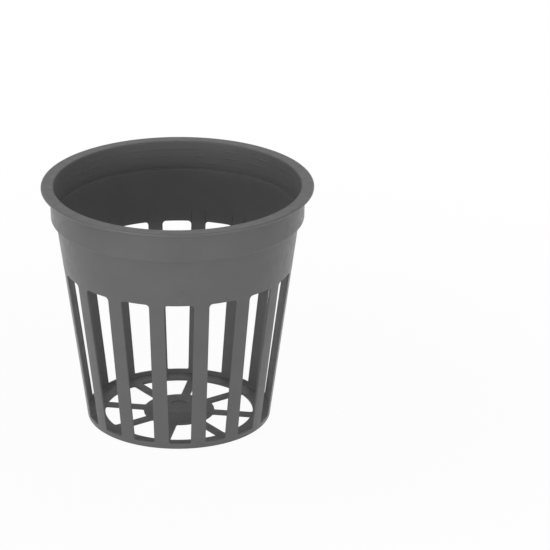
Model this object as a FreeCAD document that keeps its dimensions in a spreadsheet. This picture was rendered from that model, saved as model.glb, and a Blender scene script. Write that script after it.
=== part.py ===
import FreeCAD, Part
import Sketcher
import math
import os

# Net pot for hydroponic growing: a one-piece moulded basket that hangs by its rim.
# It stands on the XY plane with its axis on Z, at real size in millimetres. One slot is
# centred on the -Y side, and the floor's spokes stand under every second rib.

doc = FreeCAD.newDocument("net_pot")

# ---------------------------------------------------------------- driving dimensions
SIZES = [
    # overall
    ("height", 77.4, "base to the top of the rim"),
    ("rim_diameter", 85.0, "outside of the flat rim that rests on the lid"),
    ("base_diameter", 57.9, "outside of the cone, carried down to the base"),
    ("wall", 0.7, "thickness of the cone and its ribs"),
    # rim, collar and shoulder
    ("rim_overhang", 2.8, "how far the rim stands out past the collar"),
    ("rim_thickness", 1.0, "flat rim, top to underside"),
    ("rim_edge_break", 0.3, "both outer edges of the rim"),
    ("mouth_edge_break", 0.35, "rim to the inside of the collar"),
    ("collar_height", 10.4, "top of the rim to the shoulder under the collar"),
    ("collar_wall", 1.1, "thickness of the collar and of the shoulder under it"),
    ("collar_draft", 0.2, "how much the collar's radius shrinks on its way down"),
    ("collar_edge_break", 0.4, "lower outer edge of the collar"),
    ("shoulder_step", 1.5, "how far the shoulder steps in from the collar"),
    # slots and ribs
    ("slot_count", 16, "slots around the cone, with as many ribs"),
    ("slot_drop", 26.2, "top of the rim to the top of the slots"),
    ("sill_height", 1.9, "base to the bottom of the slots"),
    ("rib_width", 4.8, "each rib, along its whole height"),
    ("slot_corner_round", 1.1, "upper corners of a slot"),
    # floor
    ("floor_thickness", 0.8, "base ring and spokes"),
    ("base_edge_break", 0.4, "outer edge of the base"),
    ("window_diameter", 46.9, "outside of the openings in the floor"),
    ("hub_diameter", 22.4, "inside of the openings in the floor"),
    ("slots_per_spoke", 2, "a spoke stands under every second rib"),
    ("spoke_width", 2.8, "each spoke"),
    ("window_corner_round", 0.6, "corners of the floor's openings"),
    # hub: a dish pressed up into the pot, so that the gate mark clears the ground
    ("hub_thickness", 1.1, "the raised middle of the hub"),
    ("dish_depth", 1.5, "how far the dish is sunk into the underside"),
    ("dish_diameter", 20.6, "the dish where it meets the base plane"),
    ("dish_floor_diameter", 15.4, "the flat middle of the dish"),
    ("well_diameter", 5.0, "shallow well in the top of the hub"),
    ("well_depth", 0.25, "how deep it is"),
    ("gate_diameter", 1.0, "pit that the moulding gate leaves under the hub"),
    ("gate_depth", 0.35, "how deep it is"),
]


def make_sheet():
    sheet = doc.addObject("Spreadsheet::Sheet", "Sizes")
    for row, (name, size, note) in enumerate(SIZES, start=1):
        sheet.set(f"A{row}", name)
        sheet.set(f"B{row}", str(size))
        sheet.set(f"C{row}", note)
        sheet.setAlias(f"B{row}", name)
    doc.recompute()
    return sheet


sheet = make_sheet()

# Places along the pot, written as expressions on the sheet.
S = "Sizes."
RIM_RADIUS = f"{S}rim_diameter / 2"
COLLAR_RADIUS = f"({RIM_RADIUS} - {S}rim_overhang)"
MOUTH_RADIUS = f"({COLLAR_RADIUS} - {S}collar_wall)"
COLLAR_FOOT_RADIUS = f"({COLLAR_RADIUS} - {S}collar_draft)"
CONE_TOP_RADIUS = f"({COLLAR_FOOT_RADIUS} - {S}shoulder_step)"
BASE_RADIUS = f"{S}base_diameter / 2"
SHOULDER_LEVEL = f"({S}height - {S}collar_height)"
CONE_SLOPE = f"(({CONE_TOP_RADIUS} - {BASE_RADIUS}) / {SHOULDER_LEVEL})"
RIM_UNDERSIDE = f"({S}height - {S}rim_thickness)"
SLOT_TOP_LEVEL = f"({S}height - {S}slot_drop)"
HUB_TOP_LEVEL = f"({S}dish_depth + {S}hub_thickness)"
HALF_SLOT_ANGLE = f"(180 / {S}slot_count)"
HALF_SPOKE_ANGLE = f"({HALF_SLOT_ANGLE} * {S}slots_per_spoke)"


def number(expression):
    """What an expression on the sheet comes to now."""
    return float(sheet.evalExpression(expression.replace(S, "")))


def cone_radius(level, inside=False):
    """The cone's outer or inner radius at a level, as an expression."""
    radius = f"({BASE_RADIUS} + {CONE_SLOPE} * {level})"
    return f"({radius} - {S}wall)" if inside else radius


# ---------------------------------------------------------------- sketch helpers
def plane(body, role):
    """One of the body's own origin planes."""
    return next(item for item in body.Origin.OriginFeatures if item.Role == role)


def make_sketch(body, name, role):
    sketch = body.newObject("Sketcher::SketchObject", name)
    sketch.AttachmentSupport = [(plane(body, role), "")]
    sketch.MapMode = "FlatFace"
    return sketch


def constrain(sketch, kind, *places, size=None):
    """Add a constraint, and drive its value by an expression where it has one."""
    if size is None:
        sketch.addConstraint(Sketcher.Constraint(kind, *places))
        return
    start = math.radians(number(size)) if kind == "Angle" else number(size)
    index = sketch.addConstraint(Sketcher.Constraint(kind, *places, start))
    sketch.setExpression(f"Constraints[{index}]", size)


def closed_outline(sketch, corners):
    """Straight runs from corner to corner, each corner held at its two expressions."""
    points = [FreeCAD.Vector(number(across), number(up), 0) for across, up in corners]
    for start, end in zip(points, points[1:] + points[:1]):
        sketch.addGeometry(Part.LineSegment(start, end), False)
    for line, (across, up) in enumerate(corners):
        constrain(sketch, "Coincident", line - 1 if line else len(corners) - 1, 2, line, 1)
        hold_point(sketch, line, across, up)


def hold_point(sketch, line, across, up):
    """Hold the start of a line at a distance across and up from the sketch's origin."""
    if across == "0":
        constrain(sketch, "PointOnObject", line, 1, -2)
    else:
        constrain(sketch, "DistanceX", -1, 1, line, 1, size=across)
    if up == "0":
        constrain(sketch, "PointOnObject", line, 1, -1)
    else:
        constrain(sketch, "DistanceY", -1, 1, line, 1, size=up)


# ---------------------------------------------------------------- feature helpers
def finish_feature(body, feature):
    body.Tip = feature
    doc.recompute()
    return feature


def cut_and_repeat(body, sketch, name, count, reach):
    """Cut a sketch along its normal, then repeat the cut around the pot's axis."""
    before = body.Shape.Volume
    pocket = body.newObject("PartDesign::Pocket", name)
    pocket.Profile = sketch
    pocket.Type = 0
    pocket.setExpression("Length", reach)
    pocket.Reversed = True
    finish_feature(body, pocket)
    one_cut = before - body.Shape.Volume
    pattern = body.newObject("PartDesign::PolarPattern", name + "s_around")
    pattern.Originals = [pocket]
    pattern.Axis = (plane(body, "Z_Axis"), [""])
    pattern.Angle = 360
    pattern.setExpression("Occurrences", count)
    finish_feature(body, pattern)
    all_cuts = before - body.Shape.Volume
    if one_cut <= 0 or abs(all_cuts - one_cut * number(count)) > 0.01 * all_cuts:
        raise RuntimeError(f"{name} does not cut the pot as it should")
    return pattern


def dress_edges(body, kind, name, size, wanted):
    """Round or chamfer every edge of the body that the test accepts."""
    base = body.Tip
    names = [f"Edge{i}" for i, edge in enumerate(base.Shape.Edges, start=1) if wanted(edge)]
    if not names:
        raise RuntimeError(f"no edge found for {name}")
    dressing = body.newObject(f"PartDesign::{kind}", name)
    dressing.Base = (base, names)
    dressing.setExpression("Radius" if kind == "Fillet" else "Size", size)
    return finish_feature(body, dressing)


def ring_at(*places):
    """A test for the full circles at these radii and levels, given as expressions."""
    spots = [(number(radius), number(level)) for radius, level in places]

    def wanted(edge):
        if not isinstance(edge.Curve, Part.Circle) or abs(edge.Curve.Center.x) > 1e-6:
            return False
        radius, level = edge.Curve.Radius, edge.Curve.Center.z
        return any(math.hypot(radius - r, level - z) < 1e-4 for r, z in spots)

    return wanted


# ---------------------------------------------------------------- the pot
def turned_body(body):
    """The pot's section, turned about its axis: hub dish, floor, cone, shoulder, collar and rim."""
    dish_slope = f"({S}dish_depth / (({S}dish_diameter - {S}dish_floor_diameter) / 2))"
    hub_foot = f"({S}dish_diameter / 2)"
    hub_brow = f"({hub_foot} - ({HUB_TOP_LEVEL} - {S}floor_thickness) / {dish_slope})"
    inner_floor = cone_radius(f"{S}floor_thickness", inside=True)
    inner_ledge = f"({SHOULDER_LEVEL} + {S}collar_wall)"
    section = [
        ("0", f"{S}dish_depth"),
        (f"{S}dish_floor_diameter / 2", f"{S}dish_depth"),
        (hub_foot, "0"),
        (BASE_RADIUS, "0"),
        (CONE_TOP_RADIUS, SHOULDER_LEVEL),
        (COLLAR_FOOT_RADIUS, SHOULDER_LEVEL),
        (COLLAR_RADIUS, RIM_UNDERSIDE),
        (RIM_RADIUS, RIM_UNDERSIDE),
        (RIM_RADIUS, f"{S}height"),
        (MOUTH_RADIUS, f"{S}height"),
        (f"({COLLAR_FOOT_RADIUS} - {S}collar_wall)", inner_ledge),
        (cone_radius(inner_ledge, inside=True), inner_ledge),
        (inner_floor, f"{S}floor_thickness"),
        (hub_foot, f"{S}floor_thickness"),
        (hub_brow, HUB_TOP_LEVEL),
        ("0", HUB_TOP_LEVEL),
    ]
    sketch = make_sketch(body, "section", "XZ_Plane")
    closed_outline(sketch, section)
    turn = body.newObject("PartDesign::Revolution", "turned_section")
    turn.Profile = sketch
    turn.ReferenceAxis = (sketch, ["V_Axis"])
    turn.Angle = 360
    finish_feature(body, turn)
    break_turned_edges(body)


def break_turned_edges(body):
    """Small chamfers where the mould leaves no sharp edge."""
    rings = {
        "rim_edge": ((RIM_RADIUS, f"{S}height"), (RIM_RADIUS, RIM_UNDERSIDE)),
        "mouth_edge": ((MOUTH_RADIUS, f"{S}height"),),
        "collar_edge": ((COLLAR_FOOT_RADIUS, SHOULDER_LEVEL),),
        "base_edge": ((BASE_RADIUS, "0"),),
    }
    for name, places in rings.items():
        dress_edges(body, "Chamfer", name, f"{S}{name}_break", ring_at(*places))


def hub_marks(body):
    """The shallow well on top of the hub and the gate mark under it."""
    marks = (("well", "well_diameter", "well_depth", HUB_TOP_LEVEL, False),
             ("gate_mark", "gate_diameter", "gate_depth", f"{S}dish_depth", True))
    for name, diameter, depth, level, upwards in marks:
        sketch = make_sketch(body, name + "_circle", "XY_Plane")
        sketch.setExpression("AttachmentOffset.Base.z", level)
        sketch.addGeometry(Part.Circle(FreeCAD.Vector(0, 0, 0), FreeCAD.Vector(0, 0, 1),
                                       number(f"{S}{diameter} / 2")), False)
        constrain(sketch, "Coincident", 0, 3, -1, 1)
        constrain(sketch, "Diameter", 0, size=f"{S}{diameter}")
        pocket = body.newObject("PartDesign::Pocket", name)
        pocket.Profile = sketch
        pocket.Type = 0
        pocket.setExpression("Length", f"{S}{depth}")
        pocket.Reversed = upwards
        before = body.Shape.Volume
        finish_feature(body, pocket)
        if body.Shape.Volume >= before:
            raise RuntimeError(f"{name} cuts nothing")


def floor_windows(body):
    """The openings between the spokes: sectors whose sides run parallel to the spokes."""
    sketch = make_sketch(body, "window_outline", "XY_Plane")
    sketch.AttachmentOffset = FreeCAD.Placement(FreeCAD.Vector(), FreeCAD.Vector(0, 0, 1), 1)
    sketch.setExpression("AttachmentOffset.Rotation.Angle", f"{HALF_SLOT_ANGLE} - 90")
    half_angle = math.radians(number(HALF_SPOKE_ANGLE))
    half_spoke = number(f"{S}spoke_width / 2")
    centre = FreeCAD.Vector(0, 0, 0)
    corners = []
    for arc, diameter in enumerate(("hub_diameter", "window_diameter")):
        radius = number(f"{S}{diameter} / 2")
        reach = half_angle - math.asin(half_spoke / radius)
        circle = Part.Circle(centre, FreeCAD.Vector(0, 0, 1), radius)
        sketch.addGeometry(Part.ArcOfCircle(circle, -reach, reach), False)
        constrain(sketch, "Coincident", arc, 3, -1, 1)
        constrain(sketch, "Radius", arc, size=f"{S}{diameter} / 2")
        corners.append([FreeCAD.Vector(radius * math.cos(a), radius * math.sin(a), 0)
                        for a in (-reach, reach)])
    for side, sign in enumerate(("-", "")):
        sketch.addGeometry(Part.LineSegment(corners[0][side], corners[1][side]), False)
        line = 2 + side
        constrain(sketch, "Coincident", 0, 1 + side, line, 1)
        constrain(sketch, "Coincident", 1, 1 + side, line, 2)
        constrain(sketch, "Distance", -1, 1, line, size=f"{S}spoke_width / 2")
        constrain(sketch, "Angle", line, size=sign + HALF_SPOKE_ANGLE)
    count = f"{S}slot_count / {S}slots_per_spoke"
    cut_and_repeat(body, sketch, "window", count, f"{S}floor_thickness")
    inner, outer = number(f"{S}hub_diameter / 2"), number(f"{S}window_diameter / 2")

    def upright_corner(edge):
        if not isinstance(edge.Curve, Part.Line) or abs(edge.tangentAt(0).z) < 0.99:
            return False
        spot = edge.CenterOfMass
        radius = math.hypot(spot.x, spot.y)
        return min(abs(radius - inner), abs(radius - outer)) < 1e-3

    dress_edges(body, "Fillet", "window_corners", f"{S}window_corner_round", upright_corner)


def wall_slots(body):
    """The tall slots, narrower at the foot, so that each rib keeps one width."""
    half_rib = f"({S}rib_width / 2 * cos({HALF_SLOT_ANGLE}))"
    corners = []
    for level in (f"{S}sill_height", SLOT_TOP_LEVEL):
        half_width = f"({cone_radius(level)} * sin({HALF_SLOT_ANGLE}) - {half_rib})"
        corners.append((half_width, level))
    (foot, sill), (head, top) = corners
    sketch = make_sketch(body, "slot_outline", "XZ_Plane")
    sketch.setExpression("AttachmentOffset.Base.z", f"{S}window_diameter / 2")
    closed_outline(sketch, [(f"-{foot}", sill), (foot, sill), (head, top), (f"-{head}", top)])
    cut_and_repeat(body, sketch, "slot", f"{S}slot_count", RIM_RADIUS)
    dress_edges(body, "Fillet", "slot_corners", f"{S}slot_corner_round",
                level_line_at(number(top)))


def level_line_at(level):
    """A test for the short straight edges that cross the wall at one level."""

    def wanted(edge):
        if not isinstance(edge.Curve, Part.Line):
            return False
        return all(abs(vertex.Z - level) < 1e-6 for vertex in edge.Vertexes)

    return wanted


def check_document():
    for item in doc.Objects:
        if "Invalid" in item.State or "Error" in item.State:
            raise RuntimeError(f"{item.Name} failed: {item.State}")


def main():
    body = doc.addObject("PartDesign::Body", "net_pot")
    body.Label = "net_pot"
    turned_body(body)
    hub_marks(body)
    floor_windows(body)
    wall_slots(body)
    check_document()
    shape = body.Shape
    if shape.isNull() or not shape.isValid() or len(shape.Solids) != 1:
        raise RuntimeError("the pot is not one valid solid")
    os.makedirs("parts", exist_ok=True)
    shape.exportStep(f"parts/{body.Label}.step")
    box = shape.BoundBox
    print(f"net_pot: {box.XLength:.2f} x {box.YLength:.2f} x {box.ZLength:.2f} mm,",
          f"{shape.Volume / 1000:.2f} cm3, {len(shape.Faces)} faces")


main()
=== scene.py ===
import math

import bmesh
import bpy
from mathutils import Matrix, Vector


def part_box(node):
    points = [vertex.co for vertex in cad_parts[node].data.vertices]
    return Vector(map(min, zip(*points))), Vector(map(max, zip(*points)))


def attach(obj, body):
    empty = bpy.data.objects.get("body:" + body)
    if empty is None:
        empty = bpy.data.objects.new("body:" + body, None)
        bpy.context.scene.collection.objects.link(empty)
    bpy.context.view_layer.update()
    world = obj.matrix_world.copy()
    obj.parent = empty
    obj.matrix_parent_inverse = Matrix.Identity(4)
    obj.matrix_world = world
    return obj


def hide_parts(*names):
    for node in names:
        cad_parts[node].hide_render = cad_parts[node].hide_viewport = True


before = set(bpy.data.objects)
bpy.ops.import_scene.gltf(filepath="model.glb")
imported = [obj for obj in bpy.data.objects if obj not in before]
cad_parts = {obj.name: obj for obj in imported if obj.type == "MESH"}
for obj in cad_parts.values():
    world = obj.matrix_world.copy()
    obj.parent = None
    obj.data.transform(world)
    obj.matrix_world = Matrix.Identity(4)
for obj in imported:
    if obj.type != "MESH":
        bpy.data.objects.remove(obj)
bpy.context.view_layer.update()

# Net pot for hydroponic growing, injection moulded in one piece of dark grey polypropylene.
# Blender's copy of the moulding has the small rounds that the mould leaves on every edge.

MM = 0.001
FOOT_CORNER, TOP_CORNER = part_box("net_pot")

# ---------------------------------------------------------------- sizes, in metres
HEIGHT = TOP_CORNER.z - FOOT_CORNER.z
RIM_RADIUS = (TOP_CORNER.x - FOOT_CORNER.x) / 2
WALL = 0.7 * MM                    # cone and ribs
COLLAR_WALL = 1.1 * MM             # collar, and the shoulder under it
RIM_OVERHANG = 2.8 * MM
RIM_THICKNESS = 1.0 * MM
COLLAR_HEIGHT = 10.4 * MM
COLLAR_DRAFT = 0.2 * MM
SHOULDER_STEP = 1.5 * MM
BASE_RADIUS = 28.95 * MM
FLOOR = 0.8 * MM

SLOTS = 16
SLOT_DROP = 26.2 * MM              # rim top to slot top
SILL = 1.9 * MM                    # base to slot foot
RIB_WIDTH = 4.8 * MM
SLOT_TOP_ROUND = 1.1 * MM
SLOT_FOOT_ROUND = 0.4 * MM

SECTORS = 8                        # one spoke stands under every second rib
SPOKE_WIDTH = 2.8 * MM
WINDOW_OUTSIDE = 23.45 * MM
WINDOW_INSIDE = 11.2 * MM
WINDOW_ROUND = 0.6 * MM

DISH_DEPTH = 1.5 * MM              # the hub is a dish pressed up into the pot
DISH_RADIUS = 10.3 * MM
DISH_FLOOR_RADIUS = 7.7 * MM
HUB_THICKNESS = 1.1 * MM
WELL_RADIUS, WELL_DEPTH = 2.5 * MM, 0.25 * MM
GATE_RADIUS, GATE_DEPTH = 0.5 * MM, 0.35 * MM

RIM_ROUND = 0.4 * MM
ROOT_ROUND = 0.5 * MM              # under the rim
MOUTH_ROUND = 0.35 * MM
SHOULDER_ROUND = 0.35 * MM
LEDGE_ROUND = 0.2 * MM             # inside, above the shoulder
BASE_ROUND = 0.5 * MM
FLOOR_ROUND = 0.5 * MM
DISH_ROUND = 0.8 * MM
MARK_ROUND = 0.08 * MM             # well and gate mark
CUT_ROUND = 0.15 * MM              # both edges of every slot and window
BAND = 0.2 * MM                    # narrow strip beside each round, so that flats shade flat
STRIP = CUT_ROUND + BAND           # from a hole's outline to the surface's own mesh
TOP_MARGIN = 0.6 * MM              # more room between a slot's top and the mesh row above it

# Places that follow from the sizes.
COLLAR_RADIUS = RIM_RADIUS - RIM_OVERHANG
COLLAR_FOOT_RADIUS = COLLAR_RADIUS - COLLAR_DRAFT
CONE_TOP_RADIUS = COLLAR_FOOT_RADIUS - SHOULDER_STEP
SHOULDER = HEIGHT - COLLAR_HEIGHT
SLOT_TOP = HEIGHT - SLOT_DROP
HUB_TOP = DISH_DEPTH + HUB_THICKNESS
HALF_PITCH = math.pi / SLOTS
HALF_SECTOR = math.pi / SECTORS

# Mesh density: columns across half a rib, a slot and a rounded corner, and rows in between.
RIB_COLUMNS = 3
CORNER_STEPS = 3
SLOT_COLUMNS = 4 * CORNER_STEPS
SIDE_ROWS = 10
SPOKE_ROWS = 6
ROUND_STEPS = 5
EDGE_STEPS = 3


# ---------------------------------------------------------------- the section
def cone_radius(level, inside=False):
    outside = BASE_RADIUS + (CONE_TOP_RADIUS - BASE_RADIUS) * level / SHOULDER
    return outside - WALL if inside else outside


def rounded_path(corners):
    """Points along straight runs whose corners (radius, level, round) are true arcs.

    A narrow strip beside each arc keeps the flats flat; on a short run it narrows to fit.
    """
    spots = [Vector(corner[:2]) for corner in corners]
    runs = [after - before for before, after in zip(spots, spots[1:])]
    reaches = [0.0]
    for run_in, run_out, corner in zip(runs, runs[1:], corners[1:]):
        reaches.append(corner[2] * math.tan(run_in.angle(run_out) / 2))
    reaches.append(0.0)
    strips = [min(BAND, (stretch.length - reaches[i] - reaches[i + 1]) / 3)
              for i, stretch in enumerate(runs)]
    points = [spots[0]]
    for i in range(1, len(corners) - 1):
        back, ahead = -runs[i - 1].normalized(), runs[i].normalized()
        start, end = spots[i] + back * reaches[i], spots[i] + ahead * reaches[i]
        half = back.angle(ahead) / 2
        centre = spots[i] + (back + ahead).normalized() * corners[i][2] / math.sin(half)
        sweep = (start - centre).angle_signed(end - centre)
        points.append(start + back * strips[i - 1])
        for step in range(ROUND_STEPS + 1):
            turn = Matrix.Rotation(-sweep * step / ROUND_STEPS, 2)
            points.append(centre + turn @ (start - centre))
        points.append(end + ahead * strips[i])
    points.append(spots[-1])
    return points


def hub_underside():
    gate_top = DISH_DEPTH + GATE_DEPTH
    return rounded_path([
        (0, gate_top, 0), (GATE_RADIUS, gate_top, MARK_ROUND), (GATE_RADIUS, DISH_DEPTH, MARK_ROUND),
        (DISH_FLOOR_RADIUS, DISH_DEPTH, DISH_ROUND), (DISH_RADIUS, 0, MARK_ROUND),
        (window_hole.inner_reach, 0, 0)])[:-1]


def hub_top():
    slope = DISH_DEPTH / (DISH_RADIUS - DISH_FLOOR_RADIUS)
    brow = DISH_RADIUS - (HUB_TOP - FLOOR) / slope
    well_floor = HUB_TOP - WELL_DEPTH
    return rounded_path([
        (window_hole.inner_reach, FLOOR, 0), (DISH_RADIUS, FLOOR, MARK_ROUND),
        (brow, HUB_TOP, DISH_ROUND), (WELL_RADIUS, HUB_TOP, MARK_ROUND),
        (WELL_RADIUS, well_floor, MARK_ROUND), (0, well_floor, 0)])[1:]


def base_and_foot():
    foot = slot_hole.foot_reach
    return rounded_path([
        (window_hole.outer_reach, 0, 0), (BASE_RADIUS, 0, BASE_ROUND),
        (cone_radius(foot), foot, 0)])[1:-1]


def shoulder_rim_and_mouth():
    top = slot_hole.top_reach
    underside = HEIGHT - RIM_THICKNESS
    ledge = SHOULDER + COLLAR_WALL
    return rounded_path([
        (cone_radius(top), top, 0), (CONE_TOP_RADIUS, SHOULDER, SHOULDER_ROUND),
        (COLLAR_FOOT_RADIUS, SHOULDER, SHOULDER_ROUND), (COLLAR_RADIUS, underside, ROOT_ROUND),
        (RIM_RADIUS, underside, RIM_ROUND), (RIM_RADIUS, HEIGHT, RIM_ROUND),
        (COLLAR_RADIUS - COLLAR_WALL, HEIGHT, MOUTH_ROUND),
        (COLLAR_FOOT_RADIUS - COLLAR_WALL, ledge, LEDGE_ROUND),
        (cone_radius(ledge, True), ledge, LEDGE_ROUND), (cone_radius(top, True), top, 0)])[1:-1]


def inner_foot():
    foot = slot_hole.foot_reach
    return rounded_path([
        (cone_radius(foot, True), foot, 0), (cone_radius(FLOOR, True), FLOOR, FLOOR_ROUND),
        (window_hole.outer_reach, FLOOR, 0)])[1:-1]


# ---------------------------------------------------------------- the two kinds of hole
def arc(centre, radius, start, end, steps):
    """Points and outward normals along an arc, both ends included."""
    found = []
    for step in range(steps + 1):
        angle = start + (end - start) * step / steps
        normal = Vector((math.cos(angle), math.sin(angle)))
        found.append((centre + normal * radius, normal))
    return found


def run(start, end, normal, steps):
    """The points inside a straight run, without its ends."""
    return [(start.lerp(end, step / steps), normal) for step in range(1, steps)]


def mirrored(side):
    """The same side on the other half of the hole, in the same order."""
    return [(Vector((-p.x, p.y)), Vector((-n.x, n.y))) for p, n in side]


class SlotHole:
    """One slot seen square on: across is its half width, and up is the level.

    Its sides lean apart on their way up, so that the rib between two slots keeps one width.
    """

    def __init__(self):
        lean = (self.half_width(SLOT_TOP) - self.half_width(SILL)) / (SLOT_TOP - SILL)
        self.lean = math.atan(lean)
        self.side, self.top, self.foot = self.outline()
        self.top_reach = SLOT_TOP + STRIP + TOP_MARGIN
        self.foot_reach = SILL - STRIP

    @staticmethod
    def half_width(level):
        return cone_radius(level) * math.sin(HALF_PITCH) - RIB_WIDTH / 2 * math.cos(HALF_PITCH)

    def corner(self, level, size):
        across = self.half_width(level - size * math.sin(self.lean)) - size * math.cos(self.lean)
        return Vector((across, level))

    def outline(self):
        """Right side from foot to top, top from right to left, and foot from right to left."""
        quarter, eighth = math.pi / 2, math.pi / 4
        low = self.corner(SILL + SLOT_FOOT_ROUND, SLOT_FOOT_ROUND)
        high = self.corner(SLOT_TOP - SLOT_TOP_ROUND, SLOT_TOP_ROUND)
        foot_bend = arc(low, SLOT_FOOT_ROUND, -eighth, -self.lean, CORNER_STEPS)
        head_bend = arc(high, SLOT_TOP_ROUND, -self.lean, eighth, CORNER_STEPS)
        normal = foot_bend[-1][1]
        side = foot_bend + run(foot_bend[-1][0], head_bend[0][0], normal, SIDE_ROWS) + head_bend
        ends = []
        for centre, size, way in ((high, SLOT_TOP_ROUND, 1), (low, SLOT_FOOT_ROUND, -1)):
            bend = arc(centre, size, way * eighth, way * quarter, CORNER_STEPS)
            start, normal = bend[-1]
            middle = run(start, Vector((-start.x, start.y)), normal, SLOT_COLUMNS - 2 * CORNER_STEPS)
            ends.append(bend + middle + mirrored(bend)[::-1])
        return side, ends[0], ends[1]

    def loop(self):
        """Once around the hole: up the right, along the top, down the left, along the foot."""
        return self.side + self.top[1:] + mirrored(self.side)[-2::-1] + self.foot[-2:0:-1]

    @staticmethod
    def surface(point, inside):
        """Distance out from the axis, on the slot's middle plane, to the wall at this point."""
        return math.sqrt(cone_radius(point.y, inside) ** 2 - point.x ** 2)

    def place(self, point, depth):
        """A point of the hole's wall; depth runs from the outside (0) to the inside (1)."""
        outside, inside = self.surface(point, False), self.surface(point, True)
        return Vector((point.x, -(outside + (inside - outside) * depth), point.y))


class WindowHole:
    """One opening in the floor, with its middle line on the second coordinate."""

    def __init__(self):
        self.side, self.outer, self.inner = self.outline()
        self.outer_reach = WINDOW_OUTSIDE + STRIP
        self.inner_reach = WINDOW_INSIDE - STRIP

    def outline(self):
        """Right side outwards, outer edge from right to left, inner edge from right to left."""
        along = Vector((math.sin(HALF_SECTOR), math.cos(HALF_SECTOR)))
        normal = Vector((along.y, -along.x))
        aside = SPOKE_WIDTH / 2 + WINDOW_ROUND
        centres = []
        for radius in (WINDOW_INSIDE + WINDOW_ROUND, WINDOW_OUTSIDE - WINDOW_ROUND):
            centres.append(along * math.sqrt(radius ** 2 - aside ** 2) - normal * aside)
        near, far = centres
        facing = math.atan2(normal.y, normal.x)
        inwards = math.atan2(-near.y, -near.x)
        outwards = math.atan2(far.y, far.x)
        near_bend = arc(near, WINDOW_ROUND, inwards, facing, 2 * CORNER_STEPS)
        far_bend = arc(far, WINDOW_ROUND, facing, outwards, 2 * CORNER_STEPS)
        side = near_bend[CORNER_STEPS:]
        side += run(side[-1][0], far_bend[0][0], normal, SPOKE_ROWS)
        side += far_bend[:CORNER_STEPS + 1]
        columns = 2 * (SLOT_COLUMNS + RIB_COLUMNS) - 2 * CORNER_STEPS
        outer = self.edge(far_bend[CORNER_STEPS:], WINDOW_OUTSIDE, 1, columns)
        inner = self.edge(near_bend[CORNER_STEPS::-1], WINDOW_INSIDE, -1, columns)
        return side, outer, inner

    @staticmethod
    def edge(bend, radius, way, columns):
        start = math.atan2(bend[-1][0].y, bend[-1][0].x)
        curve = arc(Vector((0, 0)), radius, start, math.pi - start, columns)[1:-1]
        curve = [(point, normal * way) for point, normal in curve]
        return bend + curve + mirrored(bend)[::-1]

    def loop(self):
        return self.side + self.outer[1:] + mirrored(self.side)[-2::-1] + self.inner[-2:0:-1]

    @staticmethod
    def place(point, depth):
        """Depth runs from the underside (0) to the top of the floor (1)."""
        turned = Matrix.Rotation(HALF_PITCH, 2) @ Vector((point.x, -point.y))
        return Vector((turned.x, turned.y, FLOOR * depth))


slot_hole = SlotHole()
window_hole = WindowHole()


# ---------------------------------------------------------------- the sector's mesh
COLUMNS = 4 * RIB_COLUMNS + 2 * SLOT_COLUMNS


def even_columns(edges, counts):
    """Angles from edge to edge, each stretch divided evenly into its count."""
    angles = [edges[0]]
    for start, end, count in zip(edges, edges[1:], counts):
        angles += [start + (end - start) * step / count for step in range(1, count + 1)]
    return angles


def wall_columns(half_rib):
    """Columns over rib, slot, rib, slot and rib; half_rib is an angle."""
    first, pitch = -HALF_PITCH, 2 * HALF_PITCH
    edges = [first, first + half_rib]
    edges += [first + pitch - half_rib, first + pitch + half_rib]
    edges += [first + 2 * pitch - half_rib, first + 2 * pitch]
    return even_columns(edges, (RIB_COLUMNS, SLOT_COLUMNS, 2 * RIB_COLUMNS, SLOT_COLUMNS, RIB_COLUMNS))


def floor_columns(half_spoke):
    """Columns over half a spoke, the window and half a spoke."""
    first, last = -HALF_PITCH, -HALF_PITCH + 2 * HALF_SECTOR
    edges = [first, first + half_spoke, last - half_spoke, last]
    return even_columns(edges, (RIB_COLUMNS, COLUMNS - 2 * RIB_COLUMNS, RIB_COLUMNS))


def blend_columns(start, end, share):
    return [a + (b - a) * share for a, b in zip(start, end)]


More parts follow.
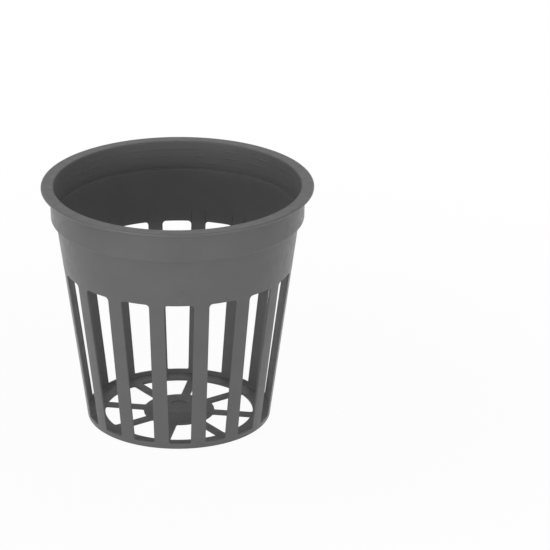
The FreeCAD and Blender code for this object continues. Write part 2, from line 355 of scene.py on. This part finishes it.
class Sector:
    """An eighth of the pot, from the middle of one spoke to the middle of the next."""

    def __init__(self):
        self.mesh = bmesh.new()
        self.rows = []
        foot_point = slot_hole.foot[0][0] + slot_hole.foot[0][1] * STRIP
        top_point = slot_hole.top[0][0] + slot_hole.top[0][1] * STRIP
        self.foot_layout = wall_columns(self.rib_angle(foot_point))
        self.top_layout = wall_columns(self.rib_angle(top_point))
        self.outer_floor = floor_columns(self.spoke_angle(window_hole.outer[0]))
        self.inner_floor = floor_columns(self.spoke_angle(window_hole.inner[0]))

    @staticmethod
    def rib_angle(point):
        return HALF_PITCH - math.asin(point.x / cone_radius(point.y))

    @staticmethod
    def spoke_angle(place):
        point = place[0] + place[1] * STRIP
        return HALF_SECTOR - math.atan2(point.x, point.y)

    @staticmethod
    def slot_start(slot):
        """The first of a slot's columns."""
        return RIB_COLUMNS + slot * (SLOT_COLUMNS + 2 * RIB_COLUMNS)

    def vertex(self, radius, angle, level):
        return self.mesh.verts.new((radius * math.sin(angle), -radius * math.cos(angle), level))

    def ring(self, radius, level, layout):
        if radius == 0:
            row = [self.mesh.verts.new((0, 0, level))] * (COLUMNS + 1)
        else:
            row = [self.vertex(radius, angle, level) for angle in layout]
        self.rows.append(row)

    def rings(self, path, layout, end_layout=None):
        """Rings along a stretch of the section; the columns slide from one layout to the other."""
        for i, (radius, level) in enumerate(path):
            columns = layout
            if end_layout:
                columns = blend_columns(layout, end_layout, (i + 1) / (len(path) + 1))
            self.ring(radius, level, columns)

    def slot_rows(self, inside):
        """Rows past two slots: each ends at the strip around a hole, on the wall's surface."""
        last = len(slot_hole.side) - 1
        rows = []
        for i, (edge, normal) in enumerate(slot_hole.side):
            point = edge + normal * STRIP
            half_rib = HALF_PITCH - math.asin(point.x / cone_radius(point.y, inside))
            angles = wall_columns(half_rib)
            places = [(cone_radius(point.y, inside), angle, point.y) for angle in angles]
            if i in (0, last):
                end = slot_hole.foot if i == 0 else slot_hole.top
                for slot in (0, 1):
                    start = self.slot_start(slot)
                    for column in range(SLOT_COLUMNS + 1):
                        edge, normal = end[SLOT_COLUMNS - column]
                        point = edge + normal * STRIP
                        radius = cone_radius(point.y, inside)
                        angle = 2 * HALF_PITCH * slot + math.asin(point.x / radius)
                        places[start + column] = (radius, angle, point.y)
            rows.append([self.vertex(*place) for place in places])
        return rows

    def window_rows(self, level):
        """Rows past one window, from the hub outwards."""
        last = len(window_hole.side) - 1
        rows = []
        for i, place in enumerate(window_hole.side):
            radius = (place[0] + place[1] * STRIP).length
            angles = floor_columns(self.spoke_angle(place))
            places = [(radius, angle) for angle in angles]
            if i in (0, last):
                end = window_hole.inner if i == 0 else window_hole.outer
                for column in range(len(end)):
                    point = end[-1 - column][0] + end[-1 - column][1] * STRIP
                    angle = HALF_PITCH + math.atan2(point.x, point.y)
                    places[RIB_COLUMNS + column] = (point.length, angle)
            rows.append([self.vertex(radius, angle, level) for radius, angle in places])
        return rows

    def build(self):
        self.rings(hub_underside(), self.inner_floor)
        under_floor = self.window_rows(0)
        self.rows += under_floor
        self.rings(base_and_foot(), self.outer_floor, self.foot_layout)
        outside = self.slot_rows(False)
        self.rows += outside
        self.rings(shoulder_rim_and_mouth(), self.top_layout)
        inside = self.slot_rows(True)
        self.rows += inside[::-1]
        self.rings(inner_foot(), self.foot_layout, self.outer_floor)
        above_floor = self.window_rows(FLOOR)
        self.rows += above_floor[::-1]
        self.rings(hub_top(), self.inner_floor)
        self.skin(under_floor + above_floor, outside + inside)
        for slot in (0, 1):
            turn = Matrix.Rotation(2 * HALF_PITCH * slot, 3, "Z")
            self.hole(slot_hole, outside, inside, self.slot_start(slot), SLOT_COLUMNS, turn)
        window_columns = COLUMNS - 2 * RIB_COLUMNS
        self.hole(window_hole, under_floor, above_floor, RIB_COLUMNS, window_columns, Matrix.Identity(3))

    def skin(self, floor_rows, wall_rows):
        """Faces between the rows, left open where the holes are."""
        floor_rows = {id(row) for row in floor_rows}
        wall_rows = {id(row) for row in wall_rows}
        slots = []
        for slot in (0, 1):
            slots += range(self.slot_start(slot), self.slot_start(slot) + SLOT_COLUMNS)
        window = range(RIB_COLUMNS, COLUMNS - RIB_COLUMNS)
        for row, following in zip(self.rows, self.rows[1:]):
            open_columns = ()
            if {id(row), id(following)} <= floor_rows:
                open_columns = window
            elif {id(row), id(following)} <= wall_rows:
                open_columns = slots
            for column in range(COLUMNS):
                if column not in open_columns:
                    self.face(row[column], row[column + 1], following[column + 1], following[column])

    def face(self, *corners):
        kept = [corner for i, corner in enumerate(corners) if corner is not corners[i - 1]]
        self.mesh.faces.new(kept)

    def hole(self, hole, near_rows, far_rows, start, columns, turn):
        """The strip around the hole, its two rounded edges and the wall between them."""
        loop = hole.loop()
        rings = [self.border(near_rows, start, columns)]
        for offset, depth, share in self.edge_profile():
            ring = []
            for point, normal in loop:
                across = hole.place(point + normal * offset, 0)
                through = hole.place(point + normal * offset, 1)
                depth_share = depth / (through - across).length
                place = across.lerp(through, depth_share if share == 0 else 1 - depth_share)
                ring.append(self.mesh.verts.new(turn @ place))
            rings.append(ring)
        rings.append(self.border(far_rows, start, columns))
        for ring, following in zip(rings, rings[1:]):
            for i in range(len(ring)):
                self.face(ring[i - 1], ring[i], following[i], following[i - 1])

    @staticmethod
    def edge_profile():
        """Offset from the hole's outline, depth, and which side the depth is counted from."""
        steps = [math.pi / 2 * step / EDGE_STEPS for step in range(EDGE_STEPS + 1)]
        near = [(CUT_ROUND * (1 - math.sin(a)), CUT_ROUND * (1 - math.cos(a)), 0) for a in steps]
        return near + [(offset, depth, 1) for offset, depth, _ in near[::-1]]

    @staticmethod
    def border(rows, start, columns):
        """The surface's own vertices around a hole, in the order of the hole's loop."""
        right = [row[start + columns] for row in rows]
        top = [rows[-1][column] for column in range(start + columns - 1, start - 1, -1)]
        left = [row[start] for row in rows[-2::-1]]
        foot = [rows[0][column] for column in range(start + 1, start + columns)]
        return right + top + left + foot


def sector_mesh():
    sector = Sector()
    sector.build()
    spare = [vertex for vertex in sector.mesh.verts if not vertex.link_faces]
    bmesh.ops.delete(sector.mesh, geom=spare, context="VERTS")
    bmesh.ops.recalc_face_normals(sector.mesh, faces=sector.mesh.faces)
    mesh = bpy.data.meshes.new("net_pot_sector")
    sector.mesh.to_mesh(mesh)
    sector.mesh.free()
    mesh.polygons.foreach_set("use_smooth", [True] * len(mesh.polygons))
    return mesh


# ---------------------------------------------------------------- nodes
def add_node(tree, kind, settings=None, *ordered, **named):
    """Add a node, set its properties, and feed its inputs, in order or by name."""
    node = tree.nodes.new(kind)
    for name, value in (settings or {}).items():
        setattr(node, name, value)
    feeds = list(zip(node.inputs, ordered))
    feeds += [(node.inputs[name.replace("_", " ")], value) for name, value in named.items()]
    for socket, value in feeds:
        if isinstance(value, bpy.types.NodeSocket):
            tree.links.new(value, socket)
        else:
            socket.default_value = value
    return node


def maths(tree, operation, *values):
    return add_node(tree, "ShaderNodeMath", {"operation": operation}, *values).outputs[0]


# ---------------------------------------------------------------- repeating the sector
def repeat_tree(material):
    """Turns copies of a sector around Z and closes the seams between them."""
    tree = bpy.data.node_groups.new("repeat_around_axis", "GeometryNodeTree")
    sockets = tree.interface
    sockets.new_socket("Sector", in_out="INPUT", socket_type="NodeSocketGeometry")
    sockets.new_socket("Copies", in_out="INPUT", socket_type="NodeSocketInt")
    sockets.new_socket("Seam gap", in_out="INPUT", socket_type="NodeSocketFloat")
    sockets.new_socket("Geometry", in_out="OUTPUT", socket_type="NodeSocketGeometry")
    given = add_node(tree, "NodeGroupInput").outputs
    points = add_node(tree, "GeometryNodeMeshLine", Count=given["Copies"], Offset=(0, 0, 0))
    step = maths(tree, "DIVIDE", math.tau, given["Copies"])
    index = add_node(tree, "GeometryNodeInputIndex").outputs[0]
    turn = add_node(tree, "ShaderNodeCombineXYZ", Z=maths(tree, "MULTIPLY", index, step))
    copies = add_node(tree, "GeometryNodeInstanceOnPoints", Points=points.outputs[0],
                      Instance=given["Sector"], Rotation=turn.outputs[0])
    real = add_node(tree, "GeometryNodeRealizeInstances", Geometry=copies.outputs[0])
    joined = add_node(tree, "GeometryNodeMergeByDistance", Geometry=real.outputs[0],
                      Distance=given["Seam gap"])
    coated = add_node(tree, "GeometryNodeSetMaterial", Geometry=joined.outputs[0], Material=material)
    add_node(tree, "NodeGroupOutput", Geometry=coated.outputs[0])
    return tree


def repeated(name, mesh, material, copies, seam):
    """A plain mesh object made by turning copies of a mesh around the axis."""
    maker = bpy.data.objects.new(name + "_maker", mesh)
    bpy.context.collection.objects.link(maker)
    modifier = maker.modifiers.new("repeat", "NODES")
    modifier.node_group = repeat_tree(material)
    for item in modifier.node_group.interface.items_tree:
        if item.name == "Copies":
            modifier[item.identifier] = copies
        elif item.name == "Seam gap":
            modifier[item.identifier] = seam
    graph = bpy.context.evaluated_depsgraph_get()
    whole = bpy.data.meshes.new_from_object(maker.evaluated_get(graph))
    bpy.data.objects.remove(maker)
    whole.name = name
    piece = bpy.data.objects.new(name, whole)
    bpy.context.collection.objects.link(piece)
    return piece


# ---------------------------------------------------------------- materials
ROUGH_OUTSIDE, ROUGH_INSIDE = 0.38, 0.56
PIGMENT_CLOUD = 9 * MM             # soft uneven patches in the pigment
SCUFF = 2.5 * MM                   # patches rubbed a little smoother or duller
SCUFF_STRENGTH = 0.05              # as roughness, either way
REFRACTIVE_INDEX = 1.49
PIGMENT_DARK = "#515151"
PIGMENT_LIGHT = "#5A5A5A"
BLADE_LINE_PAINTED_SHADE = "#2C2C2C"            # painted shade along the fine grooves that the slot blades leave
MOULD_GRAIN = 0.5 * MM             # really about 0.1 mm; drawn coarser so that it shows
MOULD_GRAIN_DEPTH = 0.006 * MM
TURNING_PITCH = 2.3 * MM
TURNING_WIDTH = 0.14               # half the ring's width, as a share of the pitch
TURNING_DEPTH = 0.12 * MM
TURNING_BREAK = 5 * MM             # about how long a stretch of ring is before it breaks off
BLADE_MARK = 0.2 * MM              # really a hairline; half its drawn width
BLADE_MARK_DEPTH = 0.05 * MM
BLADE_MARK_HEIGHT = 5.0 * MM
BLADE_MARK_FADE = 12 * MM          # patches where the marks come out stronger or weaker

SHADE_WHITE = 0.95                 # share of plain white in the paper beside the pot
SHADE_FROM, SHADE_TO = 60 * MM, 260 * MM


def linear(colour):
    """sRGB hex to linear RGBA."""
    found = []
    for i in (1, 3, 5):
        share = int(colour[i:i + 2], 16) / 255
        found.append(share / 12.92 if share <= 0.04045 else ((share + 0.055) / 1.055) ** 2.4)
    return (*found, 1.0)


def span(tree, value, start, end, low=0.0, high=1.0):
    """A value carried smoothly from start..end to low..high, and held outside."""
    return add_node(tree, "ShaderNodeMapRange", {"interpolation_type": "SMOOTHSTEP"}, value,
                    start, end, low, high).outputs[0]


def noise(tree, place, grain, detail=2.0):
    """Noise between 0 and 1 whose spots are about one grain across; grain is in metres."""
    return add_node(tree, "ShaderNodeTexNoise", None, Vector=place, Scale=1 / grain,
                    Detail=detail).outputs[0]


def moulded_polypropylene():
    """Black-grey polypropylene, injection moulded against a spark-eroded steel mould.

    Satin outside, with a broad soft shine, and duller inside, where the core is rougher. The
    pigment is a little uneven, and the core's turning and its slot blades leave faint marks; the blade
    grooves also carry a painted shade line, darker than the pigment, in the base colour.
    """
    material = bpy.data.materials.new("injection_moulded_polypropylene")
    material.use_nodes = True
    tree = material.node_tree
    shader = tree.nodes["Principled BSDF"]
    shader.inputs["IOR"].default_value = REFRACTIVE_INDEX
    place = add_node(tree, "ShaderNodeTexCoord").outputs["Object"]
    inside = inner_side(tree, place)
    turning = turning_marks(tree, place, inside)
    blade_groove_and_shade_mask = blade_grooves_and_painted_shade(tree, place, inside)
    cloud = noise(tree, place, PIGMENT_CLOUD)
    pigment = add_node(tree, "ShaderNodeMix", {"data_type": "RGBA"}, cloud)
    pigment.inputs["A"].default_value = linear(PIGMENT_DARK)
    pigment.inputs["B"].default_value = linear(PIGMENT_LIGHT)
    # painted shade: the blade grooves are darkened in the base colour, on top of the shade of their bump
    with_painted_groove_shade = add_node(tree, "ShaderNodeMix", {"data_type": "RGBA"}, blade_groove_and_shade_mask)
    tree.links.new(pigment.outputs["Result"], with_painted_groove_shade.inputs["A"])
    with_painted_groove_shade.inputs["B"].default_value = linear(BLADE_LINE_PAINTED_SHADE)
    tree.links.new(with_painted_groove_shade.outputs["Result"], shader.inputs["Base Color"])
    scuffs = span(tree, noise(tree, place, SCUFF, 6.0), 0.3, 0.7, -SCUFF_STRENGTH, SCUFF_STRENGTH)
    finish = span(tree, inside, 0.0, 1.0, ROUGH_OUTSIDE, ROUGH_INSIDE)
    tree.links.new(maths(tree, "ADD", finish, scuffs), shader.inputs["Roughness"])
    skin = maths(tree, "MULTIPLY", noise(tree, place, MOULD_GRAIN), MOULD_GRAIN_DEPTH)
    height = maths(tree, "SUBTRACT", maths(tree, "ADD", skin, turning),
                   maths(tree, "MULTIPLY", blade_groove_and_shade_mask, BLADE_MARK_DEPTH))
    bump = add_node(tree, "ShaderNodeBump", None, Strength=1.0, Distance=1.0, Height=height)
    tree.links.new(bump.outputs[0], shader.inputs["Normal"])
    return material


def inner_side(tree, place):
    """1 on the core's side of the pot: surfaces that face the axis, and the floor."""
    flat = add_node(tree, "ShaderNodeVectorMath", {"operation": "MULTIPLY"}, place, (1, 1, 0)).outputs[0]
    radius = add_node(tree, "ShaderNodeVectorMath", {"operation": "LENGTH"}, flat).outputs["Value"]
    outward = add_node(tree, "ShaderNodeVectorMath", {"operation": "NORMALIZE"}, flat).outputs[0]
    normal = add_node(tree, "ShaderNodeNewGeometry").outputs["Normal"]
    facing = add_node(tree, "ShaderNodeVectorMath", {"operation": "DOT_PRODUCT"},
                      outward, normal).outputs["Value"]
    floor_edge = cone_radius(0, True)
    on_floor = span(tree, radius, floor_edge - 1.0 * MM, floor_edge, 1.0, 0.0)
    return maths(tree, "MAXIMUM", span(tree, facing, 0.3, -0.3, 0.0, 1.0), on_floor)


def turning_marks(tree, place, inside):
    """The height of the broken rings that the turned core prints inside the collar."""
    level = add_node(tree, "ShaderNodeSeparateXYZ", None, place).outputs["Z"]
    turns = maths(tree, "FRACT", maths(tree, "DIVIDE", level, TURNING_PITCH))
    from_ring = maths(tree, "ABSOLUTE", maths(tree, "SUBTRACT", turns, 0.5))
    ring = span(tree, from_ring, 0.0, TURNING_WIDTH, 1.0, 0.0)
    in_collar = span(tree, level, SHOULDER + 1.5 * MM, SHOULDER + 3.0 * MM)
    under_rim = span(tree, level, HEIGHT - 1.0 * MM, HEIGHT - 0.6 * MM, 1.0, 0.0)
    broken = span(tree, noise(tree, place, TURNING_BREAK), 0.45, 0.6)
    rings = maths(tree, "MULTIPLY", maths(tree, "MULTIPLY", ring, broken), inside)
    height = maths(tree, "MULTIPLY", maths(tree, "MULTIPLY", in_collar, under_rim), TURNING_DEPTH)
    return maths(tree, "MULTIPLY", rings, height)


def blade_grooves_and_painted_shade(tree, place, inside):
    """1 on the short grooves that run up inside the pot from both edges of each slot's head; the mask cuts
    them as a bump and also paints their shade into the base colour.
    """
    axes = add_node(tree, "ShaderNodeSeparateXYZ", None, place).outputs
    angle = maths(tree, "ARCTAN2", axes["X"], maths(tree, "MULTIPLY", axes["Y"], -1.0))
    from_slot = maths(tree, "PINGPONG", angle, HALF_PITCH)
    inner_radius = cone_radius(SLOT_TOP, True)
    slot_edge = math.asin(slot_hole.half_width(SLOT_TOP) / inner_radius)
    aside = maths(tree, "ABSOLUTE", maths(tree, "SUBTRACT", from_slot, slot_edge))
    line = span(tree, maths(tree, "MULTIPLY", aside, inner_radius), 0.3 * BLADE_MARK, BLADE_MARK, 1.0, 0.0)
    foot = span(tree, axes["Z"], SLOT_TOP - SLOT_TOP_ROUND, SLOT_TOP)
    head = span(tree, axes["Z"], SLOT_TOP + 1.5 * MM, SLOT_TOP + BLADE_MARK_HEIGHT, 1.0, 0.0)
    faded = span(tree, noise(tree, place, BLADE_MARK_FADE), 0.35, 0.6, 0.15, 0.9)
    reach = maths(tree, "MULTIPLY", maths(tree, "MULTIPLY", foot, head), faded)
    return maths(tree, "MULTIPLY", maths(tree, "MULTIPLY", line, reach), inside)


def looked_at(tree):
    """1 for a ray that looks at the surface, straight or in a shine, and 0 for one that lights."""
    path = add_node(tree, "ShaderNodeLightPath").outputs
    rays = maths(tree, "ADD", path["Is Camera Ray"], path["Is Glossy Ray"])
    return maths(tree, "MINIMUM", maths(tree, "ADD", rays, path["Is Transmission Ray"]), 1.0)


def white_paper():
    """Matt white paper under the pot. It looks white all over, and greys a little in shadow."""
    material = bpy.data.materials.new("matt_white_paper")
    material.use_nodes = True
    tree = material.node_tree
    paper = tree.nodes["Principled BSDF"]
    paper.inputs["Base Color"].default_value = linear("#F4F4F4")
    paper.inputs["Roughness"].default_value = 0.95
    glow = add_node(tree, "ShaderNodeEmission", Color=linear("#FFFFFF"), Strength=1.0)
    place = add_node(tree, "ShaderNodeTexCoord").outputs["Object"]
    away = add_node(tree, "ShaderNodeVectorMath", {"operation": "LENGTH"}, place).outputs["Value"]
    white = add_node(tree, "ShaderNodeMapRange", {"interpolation_type": "SMOOTHSTEP"}, away,
                     SHADE_FROM, SHADE_TO, SHADE_WHITE, 1.0).outputs[0]
    mixed = add_node(tree, "ShaderNodeMixShader", None, maths(tree, "MULTIPLY", white, looked_at(tree)),
                     paper.outputs[0], glow.outputs[0])
    tree.links.new(mixed.outputs[0], tree.nodes["Material Output"].inputs["Surface"])
    return material


# ---------------------------------------------------------------- the pot
SEAM_GAP = 0.002 * MM

plastic = moulded_polypropylene()
pot = repeated("net_pot_moulding", sector_mesh(), plastic, SECTORS, SEAM_GAP)
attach(pot, "root")
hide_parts("net_pot")


# ---------------------------------------------------------------- stage, lamps and camera
WORLD_LIGHT = 0.5                  # the white room's strength as a light on the pot
FLOOR_RADIUS = 3.0
FLOOR_GAP = 0.05 * MM              # keeps the paper and the pot's base apart
AIM = Vector((0, 0, 40 * MM))      # where every lamp points
SOFTBOXES = (                      # name, place, width and height, watts
    ("left_low_softbox", (-0.516, -0.737, 0.12), (0.6, 0.2), 3.2),
    ("right_low_softbox", (0.516, -0.737, 0.12), (0.6, 0.2), 1.9),
    ("left_high_softbox", (-0.579, 0.0, 0.729), (0.5, 0.5), 1.0),
)
LENS = 242.2                       # long portrait lens, in mm
SENSOR = 36.0
CAMERA_HEADING = math.radians(-2.07)
CAMERA_PITCH = math.radians(22.42)
CAMERA_ROLL = math.radians(0.217)
RIM_FROM_LENS = Vector((-30.30, 28.29, -1149.8)) * MM  # rim's centre: right, up, behind the lens


def make_floor():
    mesh = bpy.data.meshes.new("studio_floor")
    shape = bmesh.new()
    bmesh.ops.create_circle(shape, cap_ends=True, segments=96, radius=FLOOR_RADIUS)
    shape.to_mesh(mesh)
    shape.free()
    mesh.materials.append(white_paper())
    floor = bpy.data.objects.new("studio_floor", mesh)
    bpy.context.collection.objects.link(floor)
    floor.location.z = -FLOOR_GAP
    return floor


def make_world():
    """A white studio: full white where it is looked at, and softer as a light."""
    world = bpy.data.worlds.new("white_studio")
    bpy.context.scene.world = world
    world.use_nodes = True
    tree = world.node_tree
    light = tree.nodes["Background"]
    light.inputs["Color"].default_value = linear("#FFFFFF")
    strength = add_node(tree, "ShaderNodeMapRange", None, looked_at(tree), 0.0, 1.0, WORLD_LIGHT, 1.0)
    tree.links.new(strength.outputs[0], light.inputs["Strength"])


def make_softbox(name, place, size, watts):
    data = bpy.data.lights.new(name, "AREA")
    data.shape = "RECTANGLE"
    data.size, data.size_y = size
    data.energy = watts
    lamp = bpy.data.objects.new(name, data)
    bpy.context.collection.objects.link(lamp)
    lamp.location = place
    lamp.rotation_euler = (AIM - lamp.location).to_track_quat("-Z", "Y").to_euler()


def make_camera():
    data = bpy.data.cameras.new("camera")
    data.lens = LENS
    data.sensor_width = SENSOR
    camera = bpy.data.objects.new("camera", data)
    bpy.context.collection.objects.link(camera)
    turn = (Matrix.Rotation(CAMERA_HEADING, 3, "Z")
            @ Matrix.Rotation(math.pi / 2 - CAMERA_PITCH, 3, "X")
            @ Matrix.Rotation(CAMERA_ROLL, 3, "Z"))
    camera.matrix_world = turn.to_4x4()
    camera.location = Vector((0, 0, HEIGHT)) - turn @ RIM_FROM_LENS
    bpy.context.scene.camera = camera


floor = make_floor()
make_world()
for softbox in SOFTBOXES:
    make_softbox(*softbox)
make_camera()
bpy.context.scene.view_settings.view_transform = "Standard"
